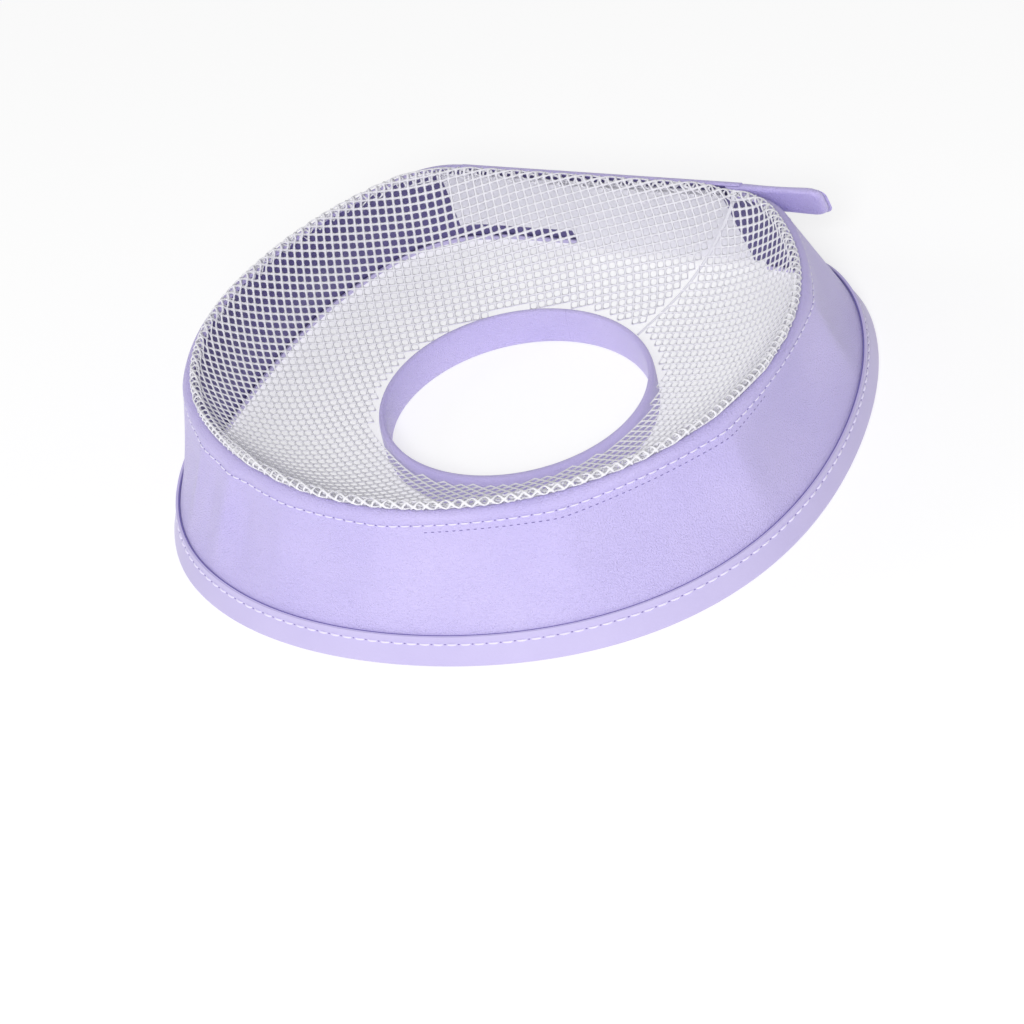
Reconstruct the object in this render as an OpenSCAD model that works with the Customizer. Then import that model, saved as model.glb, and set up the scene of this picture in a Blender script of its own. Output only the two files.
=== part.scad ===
// Soft wrap-around recovery collar for a cat.
// A padded band leans outward from its rim to its base, and a net funnel runs from the rim
// down to an elastic neck opening. The band is cut at the front fold and laps at the back,
// where a peel strip with a pull tab closes it. +Y points to the closure and -Y to the front
// fold. The origin is on the neck axis, in the plane that the collar rests on.

/* [Band] */
// Height of the band's rim above the resting plane
rim_height = 40; // [34:1:48]
// Distance that the base stands out past the rim
flare = 18; // [12:0.5:22]
// Radius of the round part of the rim, at the outer face
rim_radius = 92.7; // [88:0.1:98]
// Distance from the neck axis to the flat closure, at the rim's outer face
closure_y = 76.3; // [73:0.1:79]
// Radius of the two corners beside the closure
corner_radius = 24; // [20:1:27]

/* [Layers] */
// Thickness of the shell and facing cloth
cloth = 0.5; // [0.4:0.1:0.6]
// Thickness of the foam core
foam = 1.5; // [1:0.1:1.6]
// Thickness of the base binding and of the end binding
binding = 0.6; // [0.4:0.1:0.6]
// Height of the binding's outer leaf
binding_height = 8.5; // [6:0.5:11]
// Height of the turned hem inside the rim
hem_height = 8; // [5:0.5:10]

/* [Net funnel] */
// Upright thickness of the net funnel
net_rise = 1; // [0.8:0.1:1.4]
// Radius of the rolled net edge on the rim
roll_radius = 1.25; // [1:0.05:1.5]
// Height of the funnel's lower edge
net_bottom = 10; // [9:0.5:11]

/* [Neck] */
// Radius of the neck opening
neck_radius = 40; // [36:0.5:44]
// Radial width of the casing that holds the elastic
casing_width = 2.5; // [2.2:0.1:3]
// Height of the casing
casing_height = 12; // [11.5:0.5:14]

/* [Closure] */
// Free end of the peel strip, along X
strip_end = 50; // [46:1:54]
// Tip of the pull tab, along X
tab_tip = 79; // [68:1:84]
// Height of the pull tab
tab_height = 12; // [10:0.5:14]
// Free end of the loop flap, along X
flap_end = -15; // [-18:1:0]
// Height of the hook panel on the strip's inner face
hook_height = 22; // [14:1:22]

/* [Hidden] */

fine = 180;                  // facets of a full circle
seam = 0.1;                  // room between sewn layers
apart = 0.4;                 // room between pieces that move apart
lap = 5;                     // how far the right end lies inside the peel strip
hairline = 0.04;             // gap between the arcs and the flat of one swept piece
slit_x = -2.5;               // where the net opens at the back
slope = (flare - binding / cos(atan(flare / rim_height))) / rim_height;
lean = atan(slope);
hem_depth = 2 * cloth + foam + 3 * seam;   // depth of the hem's inner leaf, from the outer face
band_depth = hem_depth + cloth;
net_inset = band_depth / cos(lean) + 0.3;  // from the band's outer face to the net, on the level
foot = 0.8;                  // gap under the layers that the base binding wraps
net_top = rim_height;
lilac = [0.80, 0.75, 0.95];
pale_lilac = [0.80, 0.77, 0.92];
pale_grey = [0.83, 0.83, 0.85];

// Half the length of the flat, for a rim whose flat lies at this y
function half_flat(flat) =
    sqrt(pow(rim_radius - corner_radius, 2) - pow(flat - corner_radius, 2));

// Bearing of the line from the neck axis through the centre of the right corner
function corner_bearing(flat) = atan2(flat - corner_radius, half_flat(flat));

// A point of the band's cross-section: its height, and its depth inward from the outer face
function wall(z, depth) = [(rim_height - z) * slope - depth / cos(lean), z];

inner_flat = closure_y - lap;  // where the right half's flat and the funnel's rim lie
reach = 4 * rim_radius;        // well past the collar on every side

// ---- cross-sections, drawn with x as the distance outward from the rim ----

module layer_section(depth, thickness, bottom, top) {
    polygon([wall(bottom, depth), wall(top, depth),
             wall(top, depth + thickness), wall(bottom, depth + thickness)]);
}

module shell_section() {
    polygon([
        wall(foot, 0), wall(rim_height - cloth, 0), wall(rim_height, cloth),
        wall(rim_height, hem_depth), wall(rim_height - cloth, band_depth),
        wall(rim_height - hem_height, band_depth), wall(rim_height - hem_height, hem_depth),
        wall(rim_height - cloth, hem_depth), wall(rim_height - cloth, cloth), wall(foot, cloth)
    ]);
}

module core_section() {
    layer_section(cloth + seam, foam, foot, rim_height - cloth - seam);
}

module facing_section() {
    layer_section(cloth + foam + 2 * seam, cloth, foot, rim_height - cloth - seam);
}

module binding_section() {
    outer = -seam;
    inner = hem_depth;
    inner_height = binding_height - 1;
    polygon([
        wall(binding_height, outer - binding), wall(0, outer - binding),
        wall(0, inner + binding), wall(inner_height, inner + binding), wall(inner_height, inner),
        wall(foot - seam, inner), wall(foot - seam, outer), wall(binding_height, outer)
    ]);
}

module roll_section() {
    translate([-net_inset - roll_radius, net_top + roll_radius + seam])
        circle(r = roll_radius, $fn = 12);
}

module casing_section() {
    difference() {
        translate([neck_radius, 0]) square([casing_width, casing_height]);
        translate([neck_radius + cloth, cloth])
            square([casing_width - 2 * cloth, casing_height - 2 * cloth]);
    }
}

module elastic_section() {
    room = cloth + 0.2;
    translate([neck_radius + room, room])
        square([casing_width - 2 * room, casing_height - 2 * room]);
}

// ---- sweeps of a cross-section along the rim's outline ----

module sweep_arc(centre, radius, from, to) {
    translate([centre[0], centre[1], 0]) rotate([0, 0, from])
        rotate_extrude(angle = to - from, $fn = fine) translate([radius, 0]) children();
}

module sweep_flat(flat, from_x, to_x) {
    translate([from_x, 0, 0]) rotate([90, 0, 90])
        linear_extrude(to_x - from_x) translate([flat, 0]) children();
}

// From the front fold, round the right corner, and along the flat as far back as flat_from
module sweep_side(flat, flat_from) {
    bearing = corner_bearing(flat);
    fold = asin(apart / 2 / rim_radius);
    notch = asin(hairline / corner_radius);
    corner = [half_flat(flat), flat - corner_radius];
    sweep_arc([0, 0], rim_radius, fold - 90, bearing) children();
    sweep_arc(corner, corner_radius, bearing + notch, 90) children();
    if (flat_from < corner[0]) sweep_flat(flat, flat_from, corner[0] - hairline) children();
}

module on_left() {
    mirror([1, 0, 0]) children();
}

module sweep_strip() {
    sweep_flat(closure_y, apart - half_flat(closure_y), strip_end) children();
}

module sweep_neck(from, to) {
    gap = asin(apart / 2 / neck_radius);
    rotate([0, 0, from + gap])
        rotate_extrude(angle = to - from - 2 * gap, $fn = fine) children();
}

// ---- the net funnel: straight lines from the rim's outline down to the neck ----

module rim_outline(flat, inset) {
    hull() {
        intersection() {
            circle(r = rim_radius - inset, $fn = 96);
            translate([-reach / 2, -reach])
                square([reach, reach + rim_radius * sin(corner_bearing(flat))]);
        }
        for (side = [-1, 1])
            translate([side * half_flat(flat), flat - corner_radius])
                circle(r = corner_radius - inset, $fn = 48);
    }
}

module funnel_solid() {
    slice = 0.01;
    hull() {
        translate([0, 0, net_top - slice]) linear_extrude(slice) rim_outline(inner_flat, net_inset);
        translate([0, 0, net_bottom]) cylinder(h = slice, r = neck_radius + casing_width + 1, $fn = 96);
    }
}

module funnel() {
    difference() {
        funnel_solid();
        translate([0, 0, net_rise]) funnel_solid();
        cylinder(h = 4 * casing_height, r = neck_radius + casing_width + seam, center = true, $fn = 96);
    }
}

// Everything on one side of the front fold and of the slit at the back
module side_block(side) {
    front_x = side * apart / 2;
    back_x = slit_x + side * apart / 2;
    linear_extrude(2 * rim_height)
        polygon([[side * reach, -reach], [front_x, -reach], [front_x, 0],
                 [back_x, 0], [back_x, reach], [side * reach, reach]]);
}

// ---- left half ----

module shell_left() { color(lilac) on_left() sweep_side(closure_y, reach) shell_section(); }
module core_left() { color("lightgrey") on_left() sweep_side(closure_y, reach) core_section(); }
module facing_left() { color(lilac) on_left() sweep_side(closure_y, reach) facing_section(); }
module base_binding_left() { color(pale_lilac) on_left() sweep_side(closure_y, reach) binding_section(); }

module mesh_lining_left() {
    color("white") intersection() {
        funnel();
        side_block(-1);
    }
}

module mesh_roll_left() {
    color("white") on_left() sweep_side(inner_flat, apart / 2 - slit_x) roll_section();
}

module neck_casing_left() { color(lilac) sweep_neck(90, 270) casing_section(); }
module neck_elastic_left() { color("white") sweep_neck(90, 270) elastic_section(); }

// ---- right half, whose end lies inside the peel strip ----

module shell_right() { color(lilac) sweep_side(inner_flat, reach) shell_section(); }
module core_right() { color("lightgrey") sweep_side(inner_flat, reach) core_section(); }
module facing_right() { color(lilac) sweep_side(inner_flat, reach) facing_section(); }
module base_binding_right() { color(pale_lilac) sweep_side(inner_flat, reach) binding_section(); }

module mesh_lining_right() {
    color("white") intersection() {
        funnel();
        side_block(1);
    }
}

module mesh_roll_right() {
    color("white") sweep_side(inner_flat, apart / 2 + slit_x) roll_section();
}

module neck_casing_right() { color(lilac) sweep_neck(-90, 90) casing_section(); }
module neck_elastic_right() { color("white") sweep_neck(-90, 90) elastic_section(); }

module loop_flap() {
    color(pale_grey)
        sweep_flat(inner_flat, flap_end, half_flat(inner_flat) - seam)
            layer_section(-cloth, 2 * cloth, 2, rim_height - 2);
}

// ---- peel strip ----

module strip_shell() { color(lilac) sweep_strip() shell_section(); }
module strip_core() { color("lightgrey") sweep_strip() core_section(); }
module strip_facing() { color(lilac) sweep_strip() facing_section(); }
module strip_base_binding() { color(pale_lilac) sweep_strip() binding_section(); }

// A tape folded round the strip's free end, between the base binding and the tab
module strip_end_binding() {
    leaf = 6;
    bottom = binding_height + 1;
    top = rim_height - tab_height - 1.5;
    color(pale_lilac) {
        sweep_flat(closure_y, strip_end - leaf, strip_end + seam)
            layer_section(-seam - binding, binding, bottom, top);
        sweep_flat(closure_y, strip_end - leaf, strip_end + seam)
            layer_section(hem_depth, binding, bottom, top);
        sweep_flat(closure_y, strip_end + seam, strip_end + seam + binding)
            layer_section(-seam - binding, hem_depth + seam + 2 * binding, bottom, top);
    }
}

module hook_panel() {
    bottom = binding_height + 1;
    inset = 2;
    color(pale_grey)
        sweep_flat(closure_y, inset - half_flat(closure_y), strip_end - 7)
            layer_section(hem_depth, 1, bottom, min(bottom + hook_height, rim_height - hem_height - 0.3));
}

// ---- pull tab ----

tab_root = strip_end + 1;
tab_top = rim_height - 0.5;
tab_corner = 4;

// A block with a rounded tip, as wide as the tab less the inset all round
module tab_block(inset) {
    left = tab_root + inset;
    right = tab_tip - inset;
    top = tab_top - inset;
    bottom = tab_top - tab_height + inset;
    corner = tab_corner - inset;
    rotate([90, 0, 0]) linear_extrude(reach, center = true) {
        translate([left, bottom]) square([right - left - corner, top - bottom]);
        translate([left, bottom + corner]) square([right - left, top - bottom - 2 * corner]);
        translate([right - corner, top - corner]) circle(r = corner, $fn = 48);
        translate([right - corner, bottom + corner]) circle(r = corner, $fn = 48);
    }
}

module tab_plate(depth, thickness, inset) {
    intersection() {
        sweep_flat(closure_y, tab_root, tab_tip) layer_section(depth, thickness, 10, rim_height + 5);
        tab_block(inset);
    }
}

module tab_sleeve() {
    color(lilac) difference() {
        tab_plate(0.3, 2.2, 0);
        tab_plate(0.3 + cloth, 2.2 - 2 * cloth, cloth);
    }
}

module tab_webbing() { color("white") tab_plate(0.3 + cloth + 0.05, 2.1 - 2 * cloth, cloth + 0.3); }
module tab_backing() { color(lilac) tab_plate(-0.6, 0.8, 1.5); }

shell_left();
core_left();
facing_left();
base_binding_left();
mesh_lining_left();
mesh_roll_left();
neck_casing_left();
neck_elastic_left();
shell_right();
core_right();
facing_right();
base_binding_right();
mesh_lining_right();
mesh_roll_right();
neck_casing_right();
neck_elastic_right();
loop_flap();
strip_shell();
strip_core();
strip_facing();
strip_base_binding();
strip_end_binding();
hook_panel();
tab_sleeve();
tab_webbing();
tab_backing();
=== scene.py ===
import math

import bpy
import numpy as np
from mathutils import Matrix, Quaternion, Vector


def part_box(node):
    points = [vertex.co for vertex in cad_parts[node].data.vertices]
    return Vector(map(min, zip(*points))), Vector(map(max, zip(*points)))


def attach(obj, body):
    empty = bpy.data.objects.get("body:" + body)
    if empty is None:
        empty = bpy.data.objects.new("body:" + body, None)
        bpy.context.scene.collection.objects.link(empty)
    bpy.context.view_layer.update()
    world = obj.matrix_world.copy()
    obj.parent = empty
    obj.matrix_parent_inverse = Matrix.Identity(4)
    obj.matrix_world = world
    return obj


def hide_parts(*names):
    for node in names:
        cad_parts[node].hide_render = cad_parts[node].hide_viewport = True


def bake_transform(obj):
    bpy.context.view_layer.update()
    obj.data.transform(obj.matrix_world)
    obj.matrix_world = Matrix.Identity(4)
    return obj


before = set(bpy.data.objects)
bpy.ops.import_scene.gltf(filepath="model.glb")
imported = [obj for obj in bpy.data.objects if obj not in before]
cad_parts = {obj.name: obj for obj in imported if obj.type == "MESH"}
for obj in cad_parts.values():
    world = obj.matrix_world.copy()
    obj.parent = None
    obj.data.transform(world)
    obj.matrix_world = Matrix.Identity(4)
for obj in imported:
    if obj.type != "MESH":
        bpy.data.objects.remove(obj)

# Looks of a soft wrap-around recovery collar for a cat. Lengths are in millimetres up to
# the point where a mesh is made; the frame's sizes are read from the CAD nodes.
MM = 0.001
LOW, HIGH = 0, 1
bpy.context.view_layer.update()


def edge(node, axis, side):
    """One side of a CAD node's box, in millimetres."""
    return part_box(node)[side][axis] / MM


# ---------------------------------------------------------------- sizes

FLARE = 18.0               # how much further out the base stands than the rim
CORNER_R = 24.0            # radius of the rear corners at the rim
RIM_Z = edge("shell_left", 2, HIGH)
BASE_R = -edge("base_binding_left", 0, LOW)
RIM_R = BASE_R - FLARE
OUTER_FLAT = edge("strip_base_binding", 1, HIGH) - FLARE
INNER_FLAT = edge("base_binding_right", 1, HIGH) - FLARE
STRIP_END = edge("strip_shell", 0, HIGH)
FLAP_END = edge("loop_flap", 0, LOW)
HOOK_LEFT, HOOK_RIGHT = edge("hook_panel", 0, LOW), edge("hook_panel", 0, HIGH)
HOOK_BOTTOM = edge("hook_panel", 2, LOW)
TAB_TIP = edge("tab_sleeve", 0, HIGH)
TAB_BOTTOM, TAB_TOP = edge("tab_sleeve", 2, LOW), edge("tab_sleeve", 2, HIGH)
SLIT_GAP = 0.4             # between the two halves of the CAD net, at the back
SLIT_X = edge("mesh_lining_right", 0, LOW) - SLIT_GAP / 2
CASING_H = edge("neck_casing_left", 2, HIGH)
CASING_R = -edge("neck_casing_left", 0, LOW)
CASING_W = 2.5

CLOTH = 0.5                # thickness of the shell and facing cloth
FOAM = 1.5                 # thickness of the foam
BAND = 3.3                 # whole thickness of the band at the hem
BINDING = 0.65             # thickness of the binding tape
BINDING_H = 8.5            # height of the binding on the outside
HEM_H = 8.0                # height of the hem on the inside
SLOPE = (FLARE - BINDING) / RIM_Z
LEAN = math.cos(math.atan(SLOPE))  # turns a distance through the wall into a level one

STITCH = 3.4               # pitch of the stitches
STEP = STITCH / 4          # spacing of the stations along the band

NET_PITCH = 2.6            # from one cell to the next
NET_STRAND = 0.74          # width of a strand
NET_THICK = 0.5            # thickness of a strand
NET_INSET = 4.0            # from the band's outer face to the net, at the rim
ROLL_OUT = 3.0             # how far the roll leans out over the rim at the front right
ROLL_IN = 1.3              # and how far it leans out elsewhere
ROLL_R = 1.35              # radius of the rolled net edge
ROLL_TOP = RIM_Z + 2.7     # height of the roll's crest
NET_HEM = 2.6              # how far the net's edge reaches down behind the hem
NET_HEM_RIGHT = 4.0        # and how much further at the right, where it is turned in twice
SAG = 6.0                  # how far the funnel sags between the rim and the neck


# ---------------------------------------------------------------- the rim's outline

class Outline:
    """The rim seen from above. s is the distance along it from the front fold, positive to
    the right: a round arc, then a corner arc, then the flat at the back."""

    def __init__(self, left_flat, right_flat, inset=0.0):
        self.flats = {-1: left_flat - inset, 1: right_flat - inset}
        self.radius, self.corner = RIM_R - inset, CORNER_R - inset
        self.shape = {side: self._side(flat) for side, flat in self.flats.items()}

    def _side(self, flat):
        half = math.sqrt((self.radius - self.corner) ** 2 - (flat - self.corner) ** 2)
        bearing = math.atan2(flat - self.corner, half)
        round_end = self.radius * (bearing + math.pi / 2)
        corner_end = round_end + self.corner * (math.pi / 2 - bearing)
        return half, bearing, round_end, corner_end

    def corner_end(self, side):
        """The s at which the flat begins on the left (-1) or on the right (1)."""
        return side * self.shape[side][3]

    def s_of_flat(self, side, x):
        """The s of the point of the flat at this x, counted from one side."""
        half, _, _, corner_end = self.shape[side]
        return side * (corner_end + half - side * x)

    def at(self, s):
        """Points and outward normals, as four arrays x, y, nx, ny."""
        s = np.asarray(s, float)
        x, y, nx, ny = (np.zeros_like(s) for _ in range(4))
        for side in (-1, 1):
            half, bearing, round_end, corner_end = self.shape[side]
            flat = self.flats[side]
            here = (s < 0) if side < 0 else (s >= 0)
            m = np.abs(s)
            angle = np.where(m <= round_end, m / self.radius - math.pi / 2,
                             bearing + (m - round_end) / self.corner)
            angle = np.minimum(angle, math.pi / 2)
            on_round = m <= round_end
            px = np.where(on_round, self.radius * np.cos(angle), half + self.corner * np.cos(angle))
            py = np.where(on_round, self.radius * np.sin(angle),
                          flat - self.corner + self.corner * np.sin(angle))
            px = px - np.maximum(m - corner_end, 0)
            x = np.where(here, side * px, x)
            y = np.where(here, py, y)
            nx = np.where(here, side * np.cos(angle), nx)
            ny = np.where(here, np.sin(angle), ny)
        return x, y, nx, ny


BAND_LINE = Outline(OUTER_FLAT, INNER_FLAT)
NET_LINE = Outline(INNER_FLAT, INNER_FLAT, NET_INSET)


EASE_REACH = 40.0          # the wall's worn shape fades over this stretch before the flat


def smooth(t):
    """A share of 0 to 1 with its ends eased."""
    return t * t * (3 - 2 * t)


def ring_share(s):
    """1 along the round part of the band and 0 at the flat, so that both ends lie true."""
    limit = np.where(np.asarray(s) < 0, BAND_LINE.shape[-1][3], BAND_LINE.shape[1][3])
    return smooth(np.clip((limit - np.abs(s)) / EASE_REACH, 0, 1))


# ---------------------------------------------------------------- the worn shape of the wall

# Soft upright creases of the band, as bearings; between them the wall is a little flatter.
CREASES = [-217, -183, -152, -128, -108, -88, -57, -24, 14, 42]
FLATTEN = 1.0              # 1 makes the wall flat between two creases
CREASE_BLUR = 2.0          # how softly a crease is rounded
CREASE_STEP = 0.5          # spacing of the table of the wall's drop
CREASE_TABLE = 330.0       # how far the table reaches to each side of the front fold
# Shallow upright ripples where the front left buckles: the bearing, and the rise outwards.
RIPPLES = [(-134, 1.1), (-128, -1.0), (-123, 1.2), (-117.5, -0.6)]
RIPPLE_WIDTH = 3.4


def crease_table():
    """How far a flat between each two creases lies inside the round, along the band."""
    at = np.radians(np.array(CREASES) + 90.0) * RIM_R
    s = np.arange(-CREASE_TABLE, CREASE_TABLE, CREASE_STEP)
    drop = np.zeros_like(s)
    for a, b in zip(at[:-1], at[1:]):
        inside = (s >= a) & (s <= b)
        drop[inside] = ((b - a) ** 2 / 4 - (s[inside] - (a + b) / 2) ** 2) / (2 * RIM_R)
    blur = np.exp(-0.5 * (np.arange(-20, 21) * CREASE_STEP / CREASE_BLUR) ** 2)
    return s, np.convolve(drop, blur / blur.sum(), mode="same") * FLATTEN


CREASE_S, CREASE_DROP = crease_table()


def facet(s, z):
    """How far the wall lies inside the true arc: most at mid-height, between two creases. The
    sewn rim and the bound base stay round."""
    up = np.clip((z - BINDING_H) / (RIM_Z - BINDING_H), 0, 1)
    drop = np.interp(s, CREASE_S, CREASE_DROP)
    for bearing, rise in RIPPLES:
        away = (s - math.radians(bearing + 90) * RIM_R) / RIPPLE_WIDTH
        drop = drop - rise * np.exp(-away ** 2)
    return drop * 4 * up * (1 - up)


SPREAD_TURN = -5.0         # how far the worn base's shape is turned round, in degrees
SPREAD_WIDE = 2.2          # how far the base is drawn out to an oval
SPREAD_CORNER = 2.2        # and to a softly squared shape
PINCH = 10.5               # how far the base is pressed in at the left
PINCH_AT, PINCH_REACH = -100.0, 65.0


def bell(ahead, middle, reach):
    """1 at the middle and 0 past the reach, both as angles round from the front fold."""
    near = np.clip((np.degrees(ahead) - middle) / reach, -1, 1)
    return (1 + np.cos(math.pi * near)) / 2


def spread(s):
    """How much further out than the plain cone the worn base stands, here along the rim."""
    ahead = np.asarray(s) / RIM_R
    turn = 2 * (ahead + math.radians(SPREAD_TURN))
    wave = SPREAD_WIDE * np.cos(turn) - SPREAD_CORNER * np.cos(2 * turn)
    return wave - PINCH * bell(ahead, PINCH_AT, PINCH_REACH)


# Where the rim bows out at the left and in behind that: the distance, and where it is most and
# how far it reaches, as angles round from the front fold.
BULGES = [(3.0, -62.0, 42.0), (-2.2, -116.0, 40.0)]


def rim_bulge(ahead):
    """How far the rim bows out, this angle round from the front fold."""
    return sum(most * bell(ahead, middle, reach) for most, middle, reach in BULGES)


def wall(s, z, depth):
    """The outward distance of a point of the band at height z and this depth inward."""
    down = 1 - z / RIM_Z
    ease = ring_share(s)
    lean = (SLOPE * RIM_Z + spread(s) * ease) * down + rim_bulge(s / RIM_R) * ease * (1 - down)
    return lean - depth / LEAN - facet(s, z) * ease


# ---------------------------------------------------------------- meshes

def mesh_object(name, points, faces, loop_uv=None):
    mesh = bpy.data.meshes.new(name)
    mesh.from_pydata((np.asarray(points) * MM).tolist(), [], [tuple(f) for f in faces])
    if loop_uv is not None:
        layer = mesh.uv_layers.new(name="Cloth")
        layer.data.foreach_set("uv", np.asarray(loop_uv, np.float32).ravel())
    mesh.shade_smooth()
    mesh.validate()
    thing = bpy.data.objects.new(name, mesh)
    bpy.context.scene.collection.objects.link(thing)
    return thing


def swept(name, outline, s, section):
    """Sweeps a closed cross-section along the outline. section(s) gives the outward distance
    and the height of its points, as two lists with one array for each point."""
    x, y, nx, ny = outline.at(s)
    d, z = section(s)
    d = np.stack([np.broadcast_to(v, s.shape) for v in d], axis=1)
    z = np.stack([np.broadcast_to(v, s.shape) for v in z], axis=1)
    points = np.stack([x[:, None] + nx[:, None] * d, y[:, None] + ny[:, None] * d, z], axis=2)
    rows, around = d.shape
    step = np.hypot(np.diff(d, axis=1, append=d[:, :1]), np.diff(z, axis=1, append=z[:, :1]))
    along = np.concatenate([[0], np.cumsum(step.mean(0))])
    faces, uv = [], []
    for j in range(around):
        k = (j + 1) % around
        for i in range(rows - 1):
            faces.append((i * around + j, (i + 1) * around + j, (i + 1) * around + k, i * around + k))
            uv += [(s[i], along[j]), (s[i + 1], along[j]), (s[i + 1], along[j + 1]), (s[i], along[j + 1])]
    ends = [list(range(around))[::-1], [(rows - 1) * around + j for j in range(around)]]
    for end in ends:
        faces.append(end)
        uv += [(d[0, j % around], z[0, j % around]) for j in end]
    thing = mesh_object(name, points.reshape(-1, 3), faces, uv)
    sharpen(thing)
    return thing


def sharpen(thing, degrees=50):
    """Marks the edges sharper than this, so that folds and ends stay crisp."""
    thing.data.set_sharp_from_angle(angle=math.radians(degrees))


def stations(start, end):
    count = max(2, int(abs(end - start) / STEP) + 1)
    return np.linspace(start, end, count)


# ---------------------------------------------------------------- cross-sections of the band

def band_section(depths, heights):
    """A section that follows the wall: one (depth, height) pair for each of its points."""
    def section(s):
        return [wall(s, h, p) for p, h in zip(depths, heights)], list(heights)
    return section


STRIP_BAND = 2.4           # the peel strip is thinner than the band
STRIP_FOAM = 0.6
WALL_POINTS = 9            # heights at which a layer follows the wall's bulge
RIM_SEAM = 3.5             # the first row of stitches, below the rim
SECOND_SEAM = 2.0          # the second row, below the first
BASE_SEAM = 2.2            # the base row, below the binding's edge
INNER_LEAF = 3.0           # height of the binding's inner leaf
EDGE_LIFT = 0.55           # the binding's upper edge stands this far off the band
PROUD = 0.55               # how much further out the binding's foot leans
BINDING_OFF = 0.12         # from the band's outer face to the binding


def shell_points(band):
    """The outer cloth: up the outer face, over the rim, and down the hem inside."""
    cap_r = band / 2
    seam = RIM_Z - RIM_SEAM
    outer = [(0.0, z) for z in np.linspace(0.8, seam - 2.4, 14)]
    outer += [(0.03, seam - 1.2), (0.16, seam - 0.5), (0.26, seam), (0.16, seam + 0.5),
              (-0.04, seam + 1.1), (-0.06, RIM_Z - cap_r - 0.2)]
    turns = np.radians(np.linspace(5, 175, 12))
    cap = [(cap_r - (cap_r + 0.06) * math.cos(t), RIM_Z - cap_r + cap_r * math.sin(t)) for t in turns]
    leaf = [(band, RIM_Z - cap_r - 0.4), (band, RIM_Z - HEM_H),
            (band - CLOTH, RIM_Z - HEM_H), (band - CLOTH, RIM_Z - cap_r)]
    under = cap_r - CLOTH
    inner = [(cap_r + under * math.cos(t), RIM_Z - cap_r + under * math.sin(t)) for t in turns]
    back = [(CLOTH, z) for z in np.linspace(RIM_Z - cap_r - 2, 0.8, WALL_POINTS)]
    return outer + cap + leaf + inner + back


def slab_points(depth, thickness, bottom, top):
    """A plain layer of the band, with softly rounded long edges."""
    e = min(0.2, thickness / 3)
    heights = np.linspace(bottom + e, top - e, WALL_POINTS)
    near = [(depth, z) for z in heights]
    far = [(depth + thickness, z) for z in heights[::-1]]
    return (near + [(depth + e, top), (depth + thickness - e, top)]
            + far + [(depth + thickness - e, bottom), (depth + e, bottom)])


def binding_points(band):
    """The tape folded round the base. Its outer leaf leans out a little more than the band."""
    out, back = -BINDING_OFF, band - 0.35
    leaf = []
    for z in np.linspace(BINDING_H - 1.2, 1.3, 9):
        leaf.append((out - BINDING - PROUD * (1 - z / BINDING_H), z))
    seam = BINDING_H - BASE_SEAM
    leaf = [(p + 0.22 * math.exp(-((z - seam) / 0.6) ** 2), z) for p, z in leaf]
    leaf.insert(0, (out - BINDING - EDGE_LIFT, BINDING_H + 0.1))
    leaf.insert(1, (out - BINDING - EDGE_LIFT - 0.05, BINDING_H - 0.3))
    turns = np.radians(np.linspace(12, 168, 9))
    middle = (leaf[-1][0] + back + BINDING) / 2
    reach = (back + BINDING - leaf[-1][0]) / 2
    fold = [(middle - reach * math.cos(t), 1.3 - 1.3 * math.sin(t)) for t in turns]
    inner = [(back + BINDING, 1.3), (back + BINDING, INNER_LEAF), (back, INNER_LEAF), (back, 1.5)]
    inside = [(middle, 0.75), (out, 1.5), (out, BINDING_H - 1.8), (out - EDGE_LIFT, BINDING_H + 0.05)]
    return leaf + fold + inner + inside


def seam_shadow_points():
    """A dark sheet as painted shadow in the slot between the band and the binding's edge."""
    return slab_points(-0.6, 0.48, BINDING_H - 1.4, BINDING_H)


def swept_layer(name, s, pairs):
    depths, heights = zip(*pairs)
    return swept(name, BAND_LINE, s, band_section(depths, heights))


# ---------------------------------------------------------------- materials

def principled(name, roughness, specular=0.5, sheen=0.0):
    material = bpy.data.materials.new(name)
    material.use_nodes = True
    nodes, links = material.node_tree.nodes, material.node_tree.links
    shader = nodes["Principled BSDF"]
    shader.inputs["Roughness"].default_value = roughness
    shader.inputs["Specular IOR Level"].default_value = specular
    shader.inputs["Sheen Weight"].default_value = sheen
    return material, nodes, links, shader


def mixed_colour(nodes, links, factor, low, high):
    mix = nodes.new("ShaderNodeMix")
    mix.data_type = "RGBA"
    mix.inputs["A"].default_value = (*low, 1)
    mix.inputs["B"].default_value = (*high, 1)
    links.new(factor, mix.inputs["Factor"])
    return mix.outputs["Result"]


def noise(nodes, links, vector, scale, detail=2.0):
    texture = nodes.new("ShaderNodeTexNoise")
    texture.inputs["Scale"].default_value = scale
    texture.inputs["Detail"].default_value = detail
    links.new(vector, texture.inputs["Vector"])
    return texture.outputs["Fac"]


def bump(nodes, links, shader, height, strength, distance, under=None):
    node = nodes.new("ShaderNodeBump")
    node.inputs["Strength"].default_value = strength
    node.inputs["Distance"].default_value = distance
    links.new(height, node.inputs["Height"])
    if under is not None:
        links.new(under, node.inputs["Normal"])
    links.new(node.outputs["Normal"], shader.inputs["Normal"])
    return node.outputs["Normal"]


def cloth_coordinates(nodes):
    uv = nodes.new("ShaderNodeUVMap")
    uv.uv_map = "Cloth"
    return uv.outputs["UV"]


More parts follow.
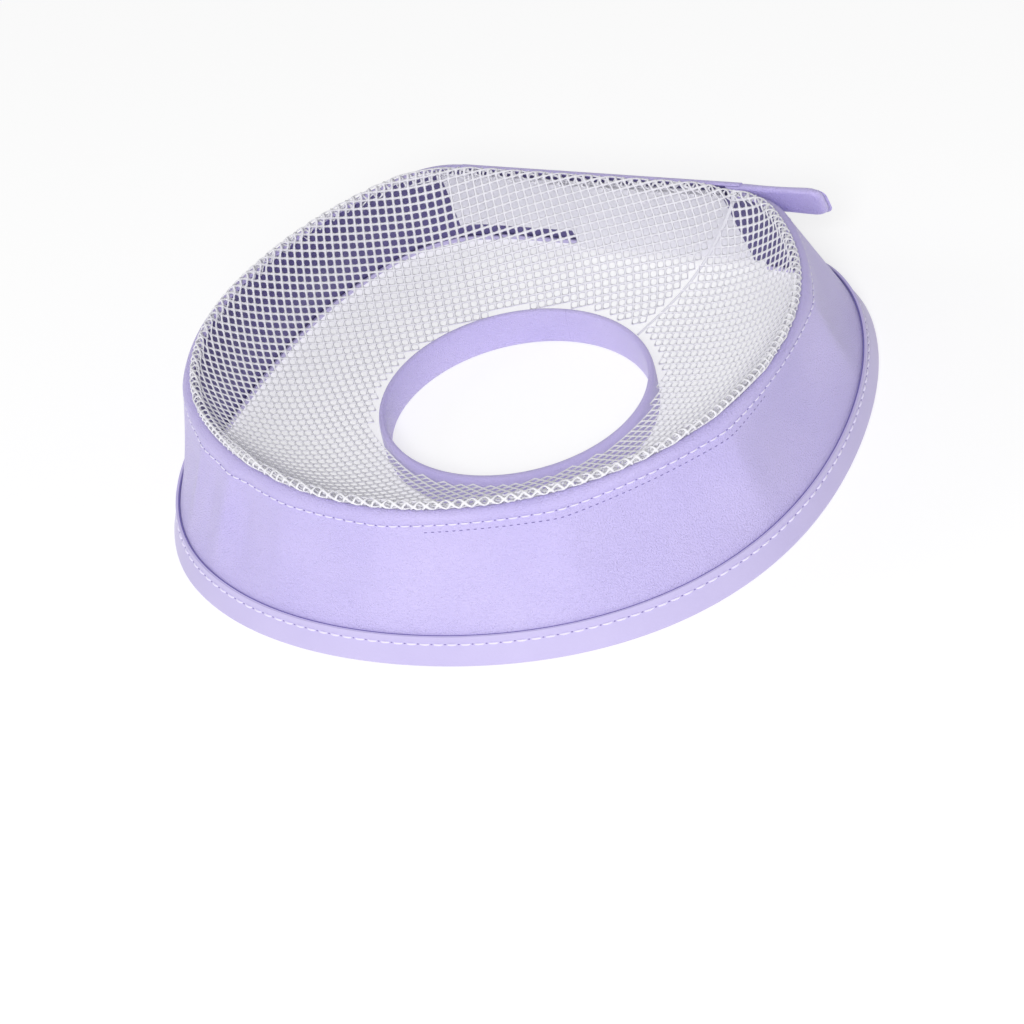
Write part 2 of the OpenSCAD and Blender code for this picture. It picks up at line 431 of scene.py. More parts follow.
def twill(name, low, high, roughness, sheen, pitch=0.62, strength=0.35):
    """Coated cloth with a fine diagonal grain. Its UVs are in millimetres along the cloth."""
    material, nodes, links, shader = principled(name, roughness, 0.45, sheen)
    uv = cloth_coordinates(nodes)
    place = nodes.new("ShaderNodeTexCoord").outputs["Object"]
    turn = nodes.new("ShaderNodeMapping")
    turn.inputs["Rotation"].default_value = (0, 0, math.radians(52))
    links.new(uv, turn.inputs["Vector"])
    lines = nodes.new("ShaderNodeTexWave")
    lines.inputs["Scale"].default_value = 1 / (2 * pitch)
    lines.inputs["Distortion"].default_value = 1.6
    lines.inputs["Detail"].default_value = 2.0
    lines.inputs["Detail Scale"].default_value = 1.5
    links.new(turn.outputs["Vector"], lines.inputs["Vector"])
    grain = noise(nodes, links, uv, 2.0, 4.0)
    patches = noise(nodes, links, place, 28.0, 2.0)
    both = nodes.new("ShaderNodeMath")
    both.operation = "MULTIPLY_ADD"
    both.inputs[1].default_value = 0.9
    links.new(grain, both.inputs[0])
    links.new(patches, both.inputs[2])
    shift = nodes.new("ShaderNodeMath")
    shift.operation = "SUBTRACT"
    shift.inputs[1].default_value = 0.45
    links.new(both.outputs[0], shift.inputs[0])
    links.new(mixed_colour(nodes, links, shift.outputs[0], low, high), shader.inputs["Base Color"])
    first = bump(nodes, links, shader, lines.outputs["Fac"], strength, 0.00016)
    bump(nodes, links, shader, grain, 0.8, 0.0007, first)
    return material


def plain_cloth(name, low, high, roughness, sheen=0.3, grain_scale=1400.0, distance=0.0001):
    """Matt cloth whose weave is a fine noise in the object's own place."""
    material, nodes, links, shader = principled(name, roughness, 0.3, sheen)
    place = nodes.new("ShaderNodeTexCoord").outputs["Object"]
    patches = noise(nodes, links, place, 60.0)
    links.new(mixed_colour(nodes, links, patches, low, high), shader.inputs["Base Color"])
    bump(nodes, links, shader, noise(nodes, links, place, grain_scale, 1.0), 0.5, distance)
    return material


def linear(r, g, b):
    """An sRGB colour of 0 to 255 as the shader's linear colour."""
    return tuple(((c / 255 + 0.055) / 1.055) ** 2.4 if c > 10 else c / 255 / 12.92 for c in (r, g, b))


LILAC = twill("lilac_cloth", linear(190, 179, 238), linear(213, 202, 248), 0.36, 0.15)
# The facing is the lilac cloth; its dark purple is painted shade, the shade inside the band.
SHADED_FACING = twill("facing_painted_shade", linear(88, 78, 138), linear(98, 88, 150), 0.6, 0.1)
BINDING_CLOTH = plain_cloth("binding_tape", linear(191, 182, 224), linear(201, 192, 231), 0.62)
# Dark purple painted shade for the needle holes.
HOLE_SHADE = plain_cloth("needle_hole_painted_shade", linear(122, 110, 174), linear(132, 120, 184), 0.8)
# Dark purple painted shadow for the slot above the binding.
SEAM_SHADOW = plain_cloth("seam_painted_shadow", linear(106, 94, 170), linear(116, 104, 180), 0.8)
FOAM_MATERIAL = plain_cloth("foam", linear(214, 214, 220), linear(225, 225, 230), 0.8, 0.0, 700.0)
NET_MATERIAL = plain_cloth("net", linear(234, 233, 240), linear(242, 241, 247), 0.5, 0.2, 2200.0, 0.00006)
THREAD = plain_cloth("thread", linear(228, 222, 248), linear(238, 233, 252), 0.5, 0.2, 3000.0, 0.00004)
NET_TAPE = plain_cloth("net_tape", linear(222, 221, 230), linear(232, 231, 238), 0.6, 0.3, 1500.0)
PALE_TAPE = plain_cloth("closure_tape", linear(238, 237, 245), linear(246, 245, 250), 0.85, 0.6, 900.0)
ELASTIC_MATERIAL = plain_cloth("elastic", linear(235, 235, 238), linear(245, 245, 247), 0.6)


def dress(thing, material, slot, *replaced):
    thing.data.materials.clear()
    thing.data.materials.append(material)
    if replaced:
        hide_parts(*replaced)
    return thing


# ---------------------------------------------------------------- the band

RING_LEFT, RING_RIGHT = BAND_LINE.corner_end(-1), BAND_LINE.corner_end(1)
BLEND_X = 40.0             # a reach to each side of the fold


def bend_front(thing, reach=BLEND_X):
    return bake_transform(thing)


def bend_strip(thing):
    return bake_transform(thing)


strip_end_s = BAND_LINE.s_of_flat(-1, STRIP_END)
ring_s = stations(RING_LEFT, RING_RIGHT)
strip_s = stations(RING_LEFT, strip_end_s)
LEAF_DEPTH = 0.3           # the hem's inner leaf is what lies no further than this from the inside


def paint_leaf_shade(shell, pairs, band, rows):
    """Gives the inner leaf of the hem the facing's dark colour, painted shade inside the band."""
    shell.data.materials.append(SHADED_FACING)
    kinds = np.zeros(len(shell.data.polygons), dtype=int)
    for j, (depth, _) in enumerate(pairs):
        if depth > band - LEAF_DEPTH:
            kinds[j * rows:(j + 1) * rows] = 1
    shell.data.polygons.foreach_set("material_index", kinds)


def band_layers(band, foam):
    """Each layer of the band: its section, its material and its slot."""
    return {
        "shell": (shell_points(band), LILAC, "lilac_cloth"),
        "core": (slab_points(CLOTH + 0.1, foam, 0.9, RIM_Z - 1.7), FOAM_MATERIAL, "foam"),
        # The facing layer wears the dark painted shade colour.
        "facing": (slab_points(CLOTH + foam + 0.2, CLOTH, 0.9, RIM_Z - 2.2), SHADED_FACING, "lilac_cloth"),
        "base_binding": (binding_points(band), BINDING_CLOTH, "pale_binding"),
    }


def sew_band(prefix, s, band, foam, bend, nodes):
    """Makes the layers of the band or the strip, which stand for the CAD nodes of these names."""
    for layer, (pairs, material, slot) in band_layers(band, foam).items():
        cloth = swept_layer(f"{prefix}_{layer}", s, pairs)
        dress(cloth, material, slot, *[name.format(layer) for name in nodes])
        if layer == "shell":
            paint_leaf_shade(cloth, pairs, band, len(s) - 1)
        bend(cloth)


sew_band("band", ring_s, BAND, FOAM, bend_front, ["{}_left", "{}_right"])
sew_band("peel_strip", strip_s, STRIP_BAND, STRIP_FOAM, bend_strip, ["strip_{}"])

# A dark sheet as painted shadow where the binding's upper edge leaves the band.
bend_front(dress(swept_layer("band_binding_seam_shadow", ring_s, seam_shadow_points()), SEAM_SHADOW, "lilac_cloth"))
bend_strip(dress(swept_layer("peel_strip_binding_seam", strip_s, seam_shadow_points()), SEAM_SHADOW, "lilac_cloth"))


# ---------------------------------------------------------------- stitches

STITCH_R = 0.3             # radius of the thread at the base
RIM_STITCH_R = 0.24        # and at the rim
ROW_DEPTH = 0.14           # how deep the middle of a row's thread lies in the cloth
STITCH_SHARE = 0.36        # half a stitch's length, as a share of the pitch
HOLE_R = 0.2               # radius of a needle hole
HOLE_LONG, MARK_LONG = 1.3, 2.4    # half the length of a hole, and of a bare needle mark, in radii
# Along a stitch: the place, its width and its rise out of the cloth, as shares.
STITCH_STOPS = [(-1.0, 0.3, -0.6), (-0.8, 0.8, 0.0), (-0.3, 1.0, 0.35),
                (0.3, 1.0, 0.35), (0.8, 0.8, 0.0), (1.0, 0.3, -0.6)]
HOLE_STOPS = [(-1.0, 0.5, -0.5), (-0.5, 1.0, -0.55), (0.5, 1.0, -0.55), (1.0, 0.5, -0.5)]


def stitch_row(name, s, place, radius=STITCH_R, thread=True, pitch=STITCH):
    """A sewn row: a short rounded thread for each stitch and, between two, a needle hole painted dark as
    the shade in the hole. place(s) gives the outward distance and the height of the row's line."""
    half = pitch * STITCH_SHARE
    centres = np.arange(min(s), max(s), pitch) + pitch / 2
    ring = [(math.cos(a), math.sin(a)) for a in np.radians(np.arange(0, 360, 60))]
    n = len(ring)
    points, faces, kinds = [], [], []

    def tube(centre, half_length, radius, stops, kind):
        at = np.array([centre + t * half_length for t, _, _ in stops])
        x, y, nx, ny = BAND_LINE.at(at)
        d, z = place(at)
        first = len(points)
        for i, (_, width, lift) in enumerate(stops):
            for u, v in ring:
                out = d[i] + (lift + u * width) * radius
                points.append((x[i] + nx[i] * out, y[i] + ny[i] * out, z[i] + v * width * radius))
        for i in range(len(stops) - 1):
            for j in range(n):
                a, b = first + i * n + j, first + i * n + (j + 1) % n
                faces.append((a, b, b + n, a + n))
                kinds.append(kind)
        faces.append([first + j for j in range(n)][::-1])
        faces.append([first + (len(stops) - 1) * n + j for j in range(n)])
        kinds.extend([kind, kind])

    for c in centres:
        if thread:
            tube(c, half, radius, STITCH_STOPS, 0)
        tube(c + pitch / 2, HOLE_R * (HOLE_LONG if thread else MARK_LONG), HOLE_R, HOLE_STOPS, 1)
    thing = mesh_object(name, points, faces)
    thing.data.materials.append(THREAD)
    # The needle holes get the painted shade colour.
    thing.data.materials.append(HOLE_SHADE)
    thing.data.polygons.foreach_set("material_index", kinds)
    return thing


def rim_row(drop, depth):
    def place(s):
        z = np.full_like(s, RIM_Z - RIM_SEAM - drop)
        return wall(s, z, depth), z
    return place


def base_row(s):
    z = np.full_like(s, BINDING_H - BASE_SEAM)
    proud = PROUD * (1 - z / BINDING_H)
    return wall(s, z, -BINDING_OFF - BINDING - proud + ROW_DEPTH), z


for name, place, radius in (("rim_stitches", rim_row(0.0, ROW_DEPTH), RIM_STITCH_R),
                            ("base_stitches", base_row, STITCH_R)):
    bend_front(stitch_row(f"band_{name}", ring_s, place, radius))
    bend_strip(stitch_row(f"peel_strip_{name}", strip_s, place, radius))

# The second row holds the net's hem, and shows only as needle marks on the front right, dark dots of
# painted shade.
HEM_PITCH = 2.0            # pitch of the second row
HEM_FROM, HEM_TO = 0.15, 1.35      # and where it runs, in radians round from the front fold
second_s = stations(HEM_FROM * RIM_R, HEM_TO * RIM_R)
bend_front(stitch_row("band_hem_stitches", second_s, rim_row(SECOND_SEAM, -0.02),
                      thread=False, pitch=HEM_PITCH))


# ---------------------------------------------------------------- the net

NECK_TOP = CASING_H - 1.5  # where the funnel meets the neck casing
NECK_JOIN_R = CASING_R + 0.5
LEAN_AT = 48.0             # the s at which the roll leans out most
DOUBLE_AT, DOUBLE_REACH = 105.0, 50.0      # the s where the net is turned in deepest, and its reach
FUNNEL_ROWS = 26           # rows of the grid from the roll to the neck
CREST_ROW = 16             # the row near the roll's crest, from which the funnel is laid flat
NET_PUSH = 2.7             # how far the net lies further out where it rests on the flap
PUSH_END = 50.0            # the x at which the net leaves the flap


def net_profile(s, steps=14):
    """The net's path in cross-section at the rim, as (inward, height) pairs: up behind the hem,
    then over the roll. Its first point is the net's hidden edge."""
    lean = ROLL_IN + (ROLL_OUT - ROLL_IN) * np.clip(np.cos((s - LEAN_AT) / RIM_R), 0, 1)
    hem = NET_HEM + NET_HEM_RIGHT * np.exp(-((s - DOUBLE_AT) / DOUBLE_REACH) ** 2)
    middle = ROLL_R - lean
    up = [(0.0, RIM_Z - hem), (0.0, RIM_Z - 2.2), (0.0, RIM_Z - 1.4),
          (-0.4 * lean, RIM_Z + 0.35), (-0.8 * lean, RIM_Z + 0.75)]
    turns = np.radians(np.linspace(-10, 165, steps))
    roll = [(middle - ROLL_R * math.cos(t), ROLL_TOP - ROLL_R + ROLL_R * math.sin(t)) for t in turns]
    down = [(middle + ROLL_R, ROLL_TOP - 2.8)]
    return up + roll + down


def net_push(s, x):
    """How much further out the net's top lies than its plain outline: along the flat, where it
    rests on the loop flap, and where the rim bows out."""
    from_corner = np.clip((np.abs(s) - NET_LINE.shape[-1][3] + 10) / 20, 0, 1)
    t = np.where(s < 0, np.minimum(from_corner, np.clip((PUSH_END - x) / 12, 0, 1)), 0.0)
    return NET_PUSH * smooth(t) + rim_bulge(s / (RIM_R - NET_INSET))


def net_surface(s):
    """The net as a grid of points: one row of points for each station, from the hidden edge,
    over the roll, and down the funnel to the neck."""
    x, y, nx, ny = NET_LINE.at(s)
    push = net_push(s, x)
    x, y = x + nx * push, y + ny * push
    rows = []
    for inward, z in net_profile(s):
        rows.append(np.stack(np.broadcast_arrays(x - nx * inward, y - ny * inward, z), axis=1))
    top = rows[-1]
    bearing = np.arctan2(top[:, 1], top[:, 0])
    neck = np.stack([NECK_JOIN_R * np.cos(bearing), NECK_JOIN_R * np.sin(bearing),
                     np.full_like(bearing, NECK_TOP)], axis=1)
    for t in np.linspace(0, 1, FUNNEL_ROWS)[1:]:
        row = top + (neck - top) * t
        row[:, 2] -= SAG * 4 * t * (1 - t) * (1.4 - 0.8 * t)
        rows.append(row)
    return np.stack(rows, axis=1)


def unroll(surface):
    """Lays the surface's strips flat one after the other. Returns the flat place of each point."""
    count = len(surface)
    length = np.linalg.norm(np.diff(surface, axis=1), axis=2)
    along = np.concatenate([np.zeros((count, 1)), np.cumsum(length, axis=1)], axis=1)
    top, bottom = surface[:, CREST_ROW], surface[:, -1]
    a, b = np.zeros((count, 2)), np.zeros((count, 2))
    long = along[:, -1] - along[:, CREST_ROW]
    b[0] = (0, -long[0])

    def third(p, q, from_p, from_q):
        """The third corner of a triangle, from two corners and its distances from them."""
        gap = np.linalg.norm(q - p)
        t = (from_p ** 2 - from_q ** 2 + gap ** 2) / (2 * gap)
        h = math.sqrt(max(from_p ** 2 - t ** 2, 0))
        ahead = (q - p) / gap
        return p + ahead * t + np.array([-ahead[1], ahead[0]]) * h

    for i in range(1, count):
        cross = math.sqrt(((top[i] - bottom[i - 1]) ** 2).sum())
        scale = long[i - 1] / np.linalg.norm(top[i - 1] - bottom[i - 1])
        a[i] = third(a[i - 1], b[i - 1], np.linalg.norm(top[i] - top[i - 1]), cross * scale)
        b[i] = third(a[i], b[i - 1], long[i], np.linalg.norm(bottom[i] - bottom[i - 1]))
    direction = (b - a) / np.linalg.norm(b - a, axis=1)[:, None]
    offset = along - along[:, CREST_ROW][:, None]
    return a[:, None] + direction[:, None] * offset[:, :, None]


NEWTON_STEPS = 6           # enough to find a place in a slanted quad


def quad_places(flat, wanted):
    """Where each wanted flat point lies on the grid, as fractional (station, row) indices, or NaN."""
    count, rows, _ = flat.shape
    found = np.full((len(wanted), 2), np.nan)
    outer, inner = flat[:, 0], flat[:, -1]
    lengths = np.linalg.norm(flat - flat[:, :1], axis=2)
    for i in range(count - 1):
        corners = np.stack([outer[i], outer[i + 1], inner[i + 1], inner[i]])
        low, high = corners.min(0), corners.max(0)
        near = np.nonzero(((wanted >= low) & (wanted <= high)).all(1) & np.isnan(found[:, 0]))[0]
        if len(near) == 0:
            continue
        p = wanted[near]
        u, v = np.full(len(near), 0.5), np.full(len(near), 0.5)
        c0, c1, c3 = corners[0], corners[1] - corners[0], corners[3] - corners[0]
        c2 = corners[0] - corners[1] + corners[2] - corners[3]
        for _ in range(NEWTON_STEPS):
            f = c0 + u[:, None] * c1 + v[:, None] * c3 + (u * v)[:, None] * c2 - p
            fu, fv = c1 + v[:, None] * c2, c3 + u[:, None] * c2
            det = fu[:, 0] * fv[:, 1] - fu[:, 1] * fv[:, 0]
            u = u - (f[:, 0] * fv[:, 1] - f[:, 1] * fv[:, 0]) / det
            v = v - (fu[:, 0] * f[:, 1] - fu[:, 1] * f[:, 0]) / det
        inside = (u >= 0) & (u < 1) & (v >= 0) & (v <= 1)
        hit = near[inside]
        mean = lengths[i] * (1 - u[inside][:, None]) + lengths[i + 1] * u[inside][:, None]
        reach = mean[:, -1] * v[inside]
        found[hit, 0] = i + u[inside]
        found[hit, 1] = [np.interp(r, m, np.arange(rows)) for r, m in zip(reach, mean)]
    return found


def sample(grid, places):
    """Bilinear values of a grid at fractional (station, row) places."""
    i = np.clip(places[:, 0].astype(int), 0, grid.shape[0] - 2)
    j = np.clip(places[:, 1].astype(int), 0, grid.shape[1] - 2)
    u, v = (places[:, 0] - i)[:, None], (places[:, 1] - j)[:, None]
    return ((grid[i, j] * (1 - u) + grid[i + 1, j] * u) * (1 - v)
            + (grid[i, j + 1] * (1 - u) + grid[i + 1, j + 1] * u) * v)


def surface_normals(grid):
    along_s = np.gradient(grid, axis=0)
    along_v = np.gradient(grid, axis=1)
    n = np.cross(along_v, along_s)
    return n / np.maximum(np.linalg.norm(n, axis=2), 1e-9)[:, :, None]


# A cell of the net: eight points round its edge and eight round its hole, in cell units.
CELL_EDGE = np.array([(0, 0), (0.5, 0), (1, 0), (1, 0.5), (1, 1), (0.5, 1), (0, 1), (0, 0.5)])
HOLE_CORNER = 0.17 * 0.3   # how far a hole's corners are drawn in, as a share of a cell
HOLE_BOW = 0.015           # and how far its sides bow out


def hole_points():
    margin = NET_STRAND / NET_PITCH / 2
    low, high = margin, 1 - margin
    near, far = low + HOLE_CORNER, high - HOLE_CORNER
    left, right = low - HOLE_BOW, high + HOLE_BOW
    return np.array([(near, near), (0.5, left), (far, near), (right, 0.5),
                     (far, far), (0.5, right), (near, far), (left, 0.5)])


def lattice(name, surface, normals, flat, turn, keep):
    """Knitted net as real strands: a square lattice drawn on the flat cut and carried to the
    surface. keep(points) says which cells of the surface to make. Returns the net, the width and
    length of its flat cut and the cut's area, in metres."""
    spin = np.array([[math.cos(turn), -math.sin(turn)], [math.sin(turn), math.cos(turn)]])
    cells = flat.reshape(-1, 2) @ spin / NET_PITCH
    low, high = np.floor(cells.min(0)).astype(int), np.ceil(cells.max(0)).astype(int)
    i, j = np.meshgrid(np.arange(low[0], high[0]), np.arange(low[1], high[1]), indexing="ij")
    base = np.stack([i.ravel(), j.ravel()], axis=1).astype(float)
    middle = quad_places(flat, (base + 0.5) * NET_PITCH @ spin.T)
    base = base[~np.isnan(middle[:, 0])]
    shape = np.concatenate([CELL_EDGE, hole_points()])
    all_points = (base[:, None] + shape[None]).reshape(-1, 2)
    key = np.round(all_points * 1000).astype(np.int64)
    unique, index = np.unique(key, axis=0, return_inverse=True)
    index = index.reshape(-1, 16)
    places = quad_places(flat, unique / 1000 * NET_PITCH @ spin.T)
    good = ~np.isnan(places[:, 0])
    places[~good] = 0
    points, normal = sample(surface, places), sample(normals, places)
    whole = good[index].all(1)
    whole &= keep(points[index].mean(1))
    index = index[whole]
    cut = (base[whole].max(0) - base[whole].min(0) + 1) * NET_PITCH * MM
    area = float(whole.sum()) * (NET_PITCH * MM) ** 2
    used, index = np.unique(index, return_inverse=True)
    index = index.reshape(-1, 16)
    points, normal = points[used], normal[used]
    is_hole = np.zeros(len(used), bool)
    is_hole[np.unique(index[:, 8:])] = True
    rise = np.where(is_hole, 0.0, NET_THICK / 2)[:, None]
    upper, lower = points + normal * rise, points - normal * rise
    lower_index = np.where(is_hole, np.arange(len(used)), np.arange(len(used)) + len(used))
    faces = []
    for k in range(8):
        m = (k + 1) % 8
        a, b, c, d = index[:, k], index[:, m], index[:, 8 + m], index[:, 8 + k]
        faces += np.stack([a, b, c, d], axis=1).tolist()
        faces += lower_index[np.stack([d, c, b, a], axis=1)].tolist()
    return mesh_object(name, np.concatenate([upper, lower]), faces), tuple(cut.tolist()), area


NET_BREAK_X = 52.5         # where the net's two ends lap, on the flat
NET_LAP = 3.0              # how far they lap
NET_STATION = 1.5          # spacing of the net's stations along the rim
NET_BLEND_X = 25.0         # a reach at the front, to each side
FRONT_BEARING = 127.0      # the front net reaches this bearing on the left
net_start = NET_LINE.s_of_flat(-1, NET_BREAK_X)
net_end = NET_LINE.s_of_flat(1, NET_BREAK_X - NET_LAP)
net_s = np.arange(net_start, net_end, NET_STATION)
net_grid = net_surface(net_s)
net_normals = surface_normals(net_grid)
net_flat = unroll(net_grid)
LATTICE_TURN = math.radians(45)


def bearing_of(points):
    return np.degrees(np.arctan2(points[:, 1], points[:, 0]))


def in_front(points):
    angle = bearing_of(points)
    return (angle < 180 - FRONT_BEARING) | (angle > FRONT_BEARING)


def behind(points, side):
    return ~in_front(points) & ((points[:, 0] - SLIT_X) * side > 0)


NET_PARTS = {
    "net_front": in_front,
    "net_back_left": lambda p: behind(p, -1),
    "net_back_right": lambda p: behind(p, 1),
}
nets = {}
for name, keep in NET_PARTS.items():
    net, cut, area = lattice(name, net_grid, net_normals, net_flat, LATTICE_TURN, keep)
    dress(net, NET_MATERIAL, "net")
    nets[name] = net
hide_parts("mesh_lining_left", "mesh_lining_right",
            "mesh_roll_left", "mesh_roll_right")
bend_front(nets["net_front"], NET_BLEND_X)
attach(nets["net_back_left"], "left_half")
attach(nets["net_back_right"], "right_half")


TAPE_WIDTH = 1.3
TAPE_RISE = 0.45           # how far the tape lies above the middle of the net
TAPE_THICK = 0.3
TAPE_CROWN = [0.0, 0.22, 0.28, 0.22, 0.0]  # its rounded upper side, from edge to edge
TAPE_FROM = 2              # the row of the net's grid where the tape begins


def seam_tape(s_middle, width):
    """A narrow tape sewn over the net's end, from the hem behind the rim down to the neck."""
    s = np.linspace(s_middle - width / 2, s_middle + width / 2, len(TAPE_CROWN))
    grid = net_surface(s)
    grid, normal = grid[:, TAPE_FROM:], surface_normals(grid)[:, TAPE_FROM:]
    crown = np.array(TAPE_CROWN)[:, None, None]
    upper = grid + normal * (TAPE_RISE + crown)
    lower = grid + normal * (TAPE_RISE - TAPE_THICK)
    across, along = grid.shape[:2]
    points = np.concatenate([upper.reshape(-1, 3), lower.reshape(-1, 3)])
    shift = across * along
    faces = []
    for i in range(across - 1):
        for j in range(along - 1):
            a, b = i * along + j, (i + 1) * along + j
            faces.append((a, a + 1, b + 1, b))
            faces.append((shift + a, shift + b, shift + b + 1, shift + a + 1))
    rim = ([i * along for i in range(across)] + [(across - 1) * along + j for j in range(1, along)]
           + [i * along + along - 1 for i in range(across - 2, -1, -1)] + list(range(along - 2, 0, -1)))
    for a, b in zip(rim, rim[1:] + rim[:1]):
        faces.append((a, b, shift + b, shift + a))
    return mesh_object("net_seam_tape", points, faces)


tape = seam_tape(NET_LINE.s_of_flat(-1, NET_BREAK_X - NET_LAP / 2), TAPE_WIDTH)
dress(tape, NET_TAPE, "net")
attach(tape, "right_half")


# ---------------------------------------------------------------- neck, closure and tab

class Circle:
    """A round outline, for the neck casing. s is the distance from the front, positive right."""

    def __init__(self, radius):
        self.radius = radius

    def at(self, s):
        angle = np.asarray(s, float) / self.radius - math.pi / 2
        c, n = np.cos(angle), np.sin(angle)
        return self.radius * c, self.radius * n, c, n


def ring_pieces(name, section, material, slot, left_node, right_node):
    """A neck ring in three pieces: one at the front, and one for each rear side."""
    outline = Circle(CASING_R)
    side_s = math.radians(270 - FRONT_BEARING) * CASING_R
    rear_s = math.pi * CASING_R - 0.03
    front = swept(f"{name}_front", outline, stations(-side_s, side_s), section)
    dress(front, material, slot, left_node, right_node)
    bend_front(front, NET_BLEND_X)
    for body, start, end in (("left", -rear_s, -side_s), ("right", side_s, rear_s)):
        rear = swept(f"{name}_back_{body}", outline, stations(start, end), section)
        dress(rear, material, slot)
        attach(rear, f"{body}_half")


def oval_section(middle, width, bottom, top, power=0.55):
    """A soft tube: a rounded upright oval."""
    turns = np.radians(np.arange(0, 360, 18))

    def round_off(share):
        return math.copysign(abs(share) ** power, share)

    d = [middle + width / 2 * round_off(math.cos(t)) for t in turns]
    z = [(bottom + top) / 2 + (top - bottom) / 2 * round_off(math.sin(t)) for t in turns]
    return lambda s: (d, z)


ring_pieces("neck_casing", oval_section(-CASING_W / 2, CASING_W, 0, CASING_H), LILAC, "lilac_cloth",
            "neck_casing_left", "neck_casing_right")


FLAP_ROOT = 45.0           # from here to the band's end the flap gets the facing's dark colour, painted shade
FLAP_BOTTOM, FLAP_TOP = 2.0, RIM_Z - 3.4
LINING_REACH = 10.0        # the closure's lining runs this far round the left corner
HOOK_TOP = RIM_Z - 3.0     # height of the hook panel's upper edge


def flat_layer(name, side, from_x, to_x, pairs):
    """A layer along the flat at the back, from one x to another."""
    s = stations(BAND_LINE.s_of_flat(side, from_x), BAND_LINE.s_of_flat(side, to_x))
    return swept_layer(name, s, pairs)


flap = flat_layer("loop_flap_cloth", 1, FLAP_END, BAND_LINE.shape[1][0] - 0.1,
                  slab_points(-CLOTH, 2 * CLOTH, FLAP_BOTTOM, FLAP_TOP))
dress(flap, PALE_TAPE, "closure_tape", "loop_flap")
# Past FLAP_ROOT the flap is painted dark purple as the shade behind the net.
flap.data.materials.append(SHADED_FACING)
for face in flap.data.polygons:
    face.material_index = 1 if face.center.x > FLAP_ROOT * MM else 0
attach(flap, "right_half")

hook = flat_layer("hook_panel_cloth", -1, HOOK_LEFT - LINING_REACH, HOOK_RIGHT,
                  slab_points(STRIP_BAND + 0.02, 1.15, HOOK_BOTTOM, HOOK_TOP))
dress(hook, PALE_TAPE, "closure_tape", "hook_panel")
bend_strip(hook)

end_tape = flat_layer("strip_end_tape", -1, STRIP_END - 6, STRIP_END + 0.7,
                      slab_points(-0.75, STRIP_BAND + 1.3, BINDING_H + 1, TAB_BOTTOM - 1))
dress(end_tape, BINDING_CLOTH, "pale_binding", "strip_end_binding")
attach(end_tape, "closure_strip")


TAB_CORNER = 3.4           # radius of the tab's corners
TAB_DRAWN = 3.0            # the stuffed tip is drawn in by this much
TAB_SOFT = 2.2             # how far the tab's rounded edge reaches in
TAB_UNDER = 5.0            # how far the tab reaches back past the strip's end


def tab_layer(name, depth, thickness, drop=0.0):
    """A soft strap with a rounded tip, lying in the band's wall, drop lower than the CAD tab."""
    corner = TAB_CORNER
    left, right = STRIP_END - TAB_UNDER, TAB_TIP - TAB_DRAWN
    bottom, top = TAB_BOTTOM - drop, TAB_TOP - drop
    border = []
    for cx, cz, start in ((right - corner, bottom + corner, -90), (right - corner, top - corner, 0)):
        for a in np.radians(np.linspace(start, start + 90, 7)):
            border.append((cx + corner * math.cos(a), cz + corner * math.sin(a)))
    border += [(x, top) for x in np.linspace(right - corner, left, 16)[1:]]
    border += [(x, bottom) for x in np.linspace(left, right - corner, 16)[:-1]]
    border = np.array(border)
    middle = np.array([(left + right) / 2, (bottom + top) / 2])
    rings = []
    for turn in np.radians(np.linspace(-80, 80, 9)):
        shrink = TAB_SOFT * (1 - math.cos(turn))
        deep = thickness * (1 + math.sin(turn)) / 2
        inward = middle - border
        inward /= np.linalg.norm(inward, axis=1)[:, None]
        flat = border + inward * shrink
        flat[:, 0] = np.maximum(flat[:, 0], left)
        y = OUTER_FLAT + SLOPE * (RIM_Z - flat[:, 1]) - (depth + deep) / LEAN
        rings.append(np.stack([flat[:, 0], y, flat[:, 1]], axis=1))
    n = len(border)
    points = np.concatenate(rings)
    faces, uv = [], []
    for i in range(len(rings) - 1):
        for j in range(n):
            k = (j + 1) % n
            faces.append((i * n + j, i * n + k, (i + 1) * n + k, (i + 1) * n + j))
    faces.append(list(range(n))[::-1])
    faces.append([(len(rings) - 1) * n + j for j in range(n)])
    for f in faces:
        uv += [(points[v][0], points[v][2]) for v in f]
    thing = mesh_object(name, points, faces, uv)
    sharpen(thing)
    return thing


def bend_tab(thing):
    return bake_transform(thing)


strap = dress(tab_layer("tab_strap", -0.1, 3.2), LILAC, "lilac_cloth", "tab_sleeve", "tab_webbing")
bend_tab(strap)
backing = dress(tab_layer("tab_backing_cloth", -0.9, 0.8, drop=1.8), LILAC, "lilac_cloth", "tab_backing")
bend_tab(backing)

for node in ("neck_elastic_left", "neck_elastic_right"):
    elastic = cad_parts[node].data
    elastic.materials.clear()
    elastic.materials.append(ELASTIC_MATERIAL)


# ---------------------------------------------------------------- stage, light and camera

FLOOR_GLOW = 0.62          # a lit table, so that its white stays even
FLOOR_WHITE = 0.45


def make_stage():
    bpy.ops.mesh.primitive_plane_add(size=12, location=(0, 0, -0.0002))
    floor = bpy.context.object
    floor.name = "floor"
    material, nodes, links, shader = principled("floor_white", 0.9, 0.1)
    shader.inputs["Base Color"].default_value = (FLOOR_WHITE, FLOOR_WHITE, FLOOR_WHITE, 1)
    shader.inputs["Emission Color"].default_value = (1, 1, 1, 1)
    shader.inputs["Emission Strength"].default_value = FLOOR_GLOW
    floor.data.materials.append(material)


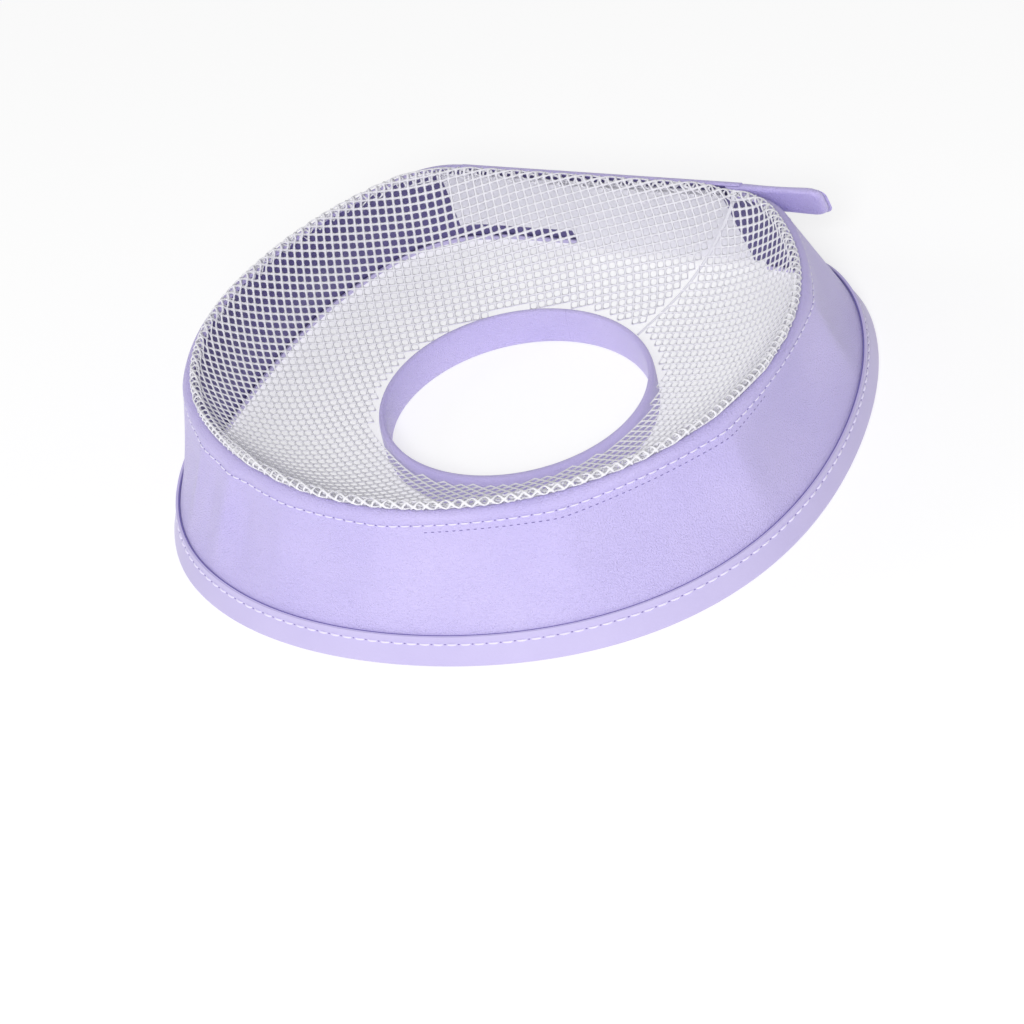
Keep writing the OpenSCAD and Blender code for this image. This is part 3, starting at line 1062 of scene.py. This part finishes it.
def area_light(name, place, target, size, power):
    data = bpy.data.lights.new(name, "AREA")
    data.size = size
    data.energy = power
    lamp = bpy.data.objects.new(name, data)
    lamp.location = place
    lamp.rotation_euler = (Vector(target) - Vector(place)).to_track_quat("-Z", "Y").to_euler()
    bpy.context.scene.collection.objects.link(lamp)


SKY = 0.46                 # strength of the plain sky
LAMP_AWAY = 1.6            # the lamps' distance, in metres
LAMP_TARGET = (0, 0, 0.02)


def make_light():
    world = bpy.data.worlds.new("studio")
    world.use_nodes = True
    back = world.node_tree.nodes["Background"]
    back.inputs["Color"].default_value = (1, 1, 1, 1)
    back.inputs["Strength"].default_value = SKY
    bpy.context.scene.world = world
    area_light("key", sky_place(-68, 36, LAMP_AWAY), LAMP_TARGET, 0.45, 14.2)
    area_light("fill", sky_place(-165, 28, LAMP_AWAY), LAMP_TARGET, 0.5, 3.0)


def sky_place(bearing, height, distance):
    b, h = math.radians(bearing), math.radians(height)
    level = distance * math.cos(b) * math.cos(h), distance * math.sin(b) * math.cos(h)
    return (*level, distance * math.sin(h))


CAMERA_BEARING = 30.6      # from straight in front of the fold, towards +X
CAMERA_HEIGHT = 36.0
CAMERA_ROLL = -13.37
CAMERA_DISTANCE = 1.0
CAMERA_LENS = 116.0
CAMERA_SHIFT = -0.0108, -0.0883


def make_camera():
    a, e = math.radians(CAMERA_BEARING), math.radians(CAMERA_HEIGHT)
    back = Vector((math.sin(a) * math.cos(e), -math.cos(a) * math.cos(e), math.sin(e)))
    data = bpy.data.cameras.new("camera")
    data.lens = CAMERA_LENS
    data.sensor_width = 36.0
    data.shift_x, data.shift_y = CAMERA_SHIFT
    camera = bpy.data.objects.new("camera", data)
    camera.rotation_mode = "QUATERNION"
    look = (-back).to_track_quat("-Z", "Y")
    camera.rotation_quaternion = look @ Quaternion((0, 0, 1), math.radians(CAMERA_ROLL))
    camera.location = back * CAMERA_DISTANCE
    bpy.context.scene.collection.objects.link(camera)
    bpy.context.scene.camera = camera


make_stage()
make_light()
make_camera()
bpy.context.scene.view_settings.view_transform = "Standard"
